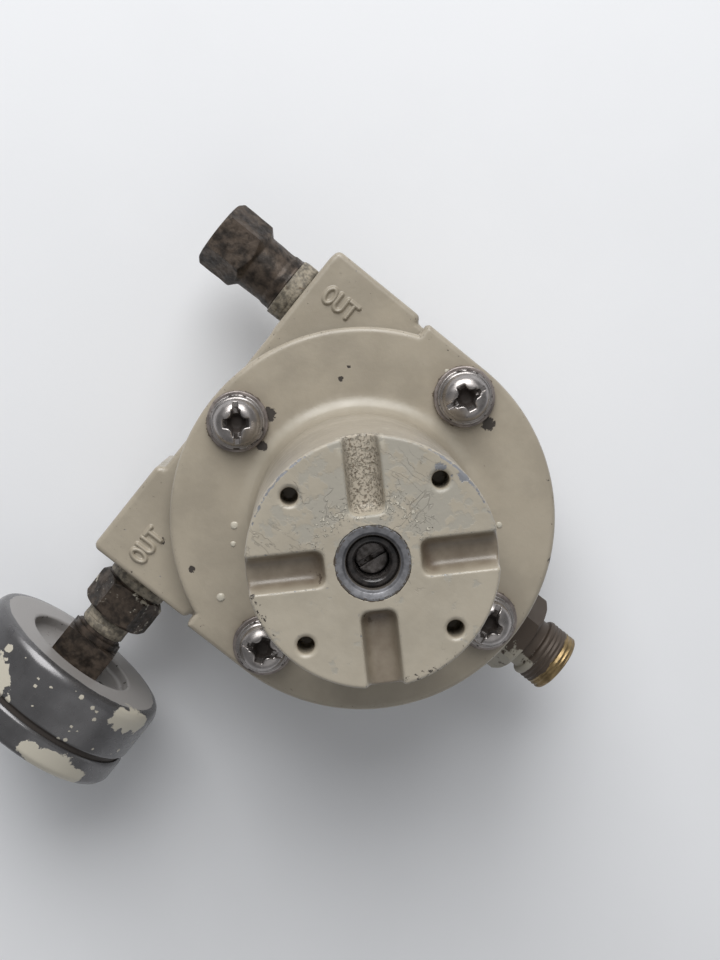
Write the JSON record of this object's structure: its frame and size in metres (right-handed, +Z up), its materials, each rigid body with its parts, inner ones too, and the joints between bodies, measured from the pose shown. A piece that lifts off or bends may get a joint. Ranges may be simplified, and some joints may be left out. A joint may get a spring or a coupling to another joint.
{
  "type": "diverter valve",
  "caption": "Diaphragm-operated diverter valve: a sprung bonnet over a square-cornered body with one inlet, two outlets, pipe fittings and a pressure gauge.",
  "frame": {"origin": "centre of the base face, midway between the two fixing holes, on the axis of the bonnet", "axes": "+Z up the bonnet's axis, +X out of the inlet port, so the outlet port faces -X and the gauge's port faces -Y"},
  "size_m": [0.1189, 0.125, 0.1],
  "materials": {
    "cream_paint": "satin",
    "rubber": "matt",
    "aged_steel": "worn",
    "bare_bush": "turned",
    "black_steel": "blackened",
    "spring_steel": "satin",
    "aluminium": "satin",
    "clean_brass": "satin",
    "dark_brass": "oxidised",
    "seal_tape": "matt",
    "grey_case": "satin",
    "glass": "clear",
    "dial_white": "matt",
    "pointer_black": "matt"
  },
  "bodies": {
    "root": {"valve_body": "cream_paint", "bonnet": "cream_paint", "diaphragm": "rubber", "flange_screws": "aged_steel", "spring_washers": "aged_steel", "flat_washers": "aged_steel", "adjuster_bush": "bare_bush", "lock_ring": "black_steel", "range_spring": "spring_steel", "upper_seat": "clean_brass", "lower_seat": "clean_brass", "return_spring": "spring_steel", "bottom_plug": "clean_brass", "bottom_plug_o_ring": "rubber", "inlet_fitting": "dark_brass", "inlet_tape": "seal_tape", "outlet_adaptor": "dark_brass", "outlet_tape": "seal_tape", "gauge_bushing": "dark_brass", "gauge_bushing_tape": "seal_tape", "gauge_socket": "dark_brass", "gauge_stem_tape": "seal_tape", "gauge_case": "grey_case", "gauge_bezel": "grey_case", "gauge_glass": "glass", "gauge_gasket": "rubber", "gauge_dial": "dial_white", "gauge_dial_screws": "clean_brass", "bourdon_tube": "clean_brass", "movement_back_plate": "clean_brass", "movement_front_plate": "clean_brass", "movement_pillars": "clean_brass", "hairspring": "spring_steel"},
    "spring_seat": {"upper_spring_seat": "clean_brass"},
    "adjusting_screw": {"adjusting_screw": "aged_steel"},
    "diaphragm_stack": {"upper_diaphragm_plate": "aluminium", "lower_diaphragm_plate": "aluminium", "diaphragm_stem": "clean_brass", "stem_nut": "aged_steel"},
    "poppet": {"poppet": "clean_brass", "poppet_faces": "rubber"},
    "pointer": {"gauge_pointer": "pointer_black", "pointer_pinion": "clean_brass"},
    "sector": {"sector_gear": "clean_brass"},
    "link": {"tip_link": "clean_brass"}
  },
  "joints": [
    {"name": "spring_seat_slide", "type": "slide", "parent": "root", "child": "spring_seat", "axis": [0, 0, 1], "range_m": [-0.005, 0.0035], "deforming": ["range_spring"]},
    {"name": "adjusting_screw_turn", "type": "hinge", "parent": "spring_seat", "child": "adjusting_screw", "pos_m": [0, 0, 0.09], "axis": [0, 0, 1], "range_deg": [-1800, 1260]},
    {"name": "diaphragm_slide", "type": "slide", "parent": "root", "child": "diaphragm_stack", "axis": [0, 0, 1], "range_m": [0, 0.00155], "stiffness_N_per_m": 2000, "springref_m": -0.002, "deforming": ["diaphragm"]},
    {"name": "poppet_slide", "type": "slide", "parent": "root", "child": "poppet", "axis": [0, 0, 1], "range_m": [0, 0.00155], "deforming": ["return_spring"]},
    {"name": "pointer_turn", "type": "hinge", "parent": "root", "child": "pointer", "pos_m": [-0.028, -0.06, 0.023], "axis": [0, 1, 0], "range_deg": [0, 270], "stiffness_Nm_per_rad": 0.00002, "deforming": ["hairspring"]},
    {"name": "sector_turn", "type": "hinge", "parent": "root", "child": "sector", "pos_m": [-0.028, -0.06, 0.013], "axis": [0, 1, 0], "range_deg": [-30, 0], "deforming": ["bourdon_tube"]},
    {"name": "link_turn", "type": "hinge", "parent": "sector", "child": "link", "pos_m": [-0.02424, -0.06, 0.01163], "axis": [0, 1, 0], "range_deg": [0, 30]}
  ],
  "couplings": [
    {"joint": "adjusting_screw_turn", "follows": "spring_seat_slide", "rad_per_m": 6283.2},
    {"joint": "poppet_slide", "follows": "diaphragm_slide", "ratio": 1},
    {"joint": "sector_turn", "follows": "pointer_turn", "ratio": -0.11111},
    {"joint": "link_turn", "follows": "pointer_turn", "ratio": 0.11111}
  ]
}
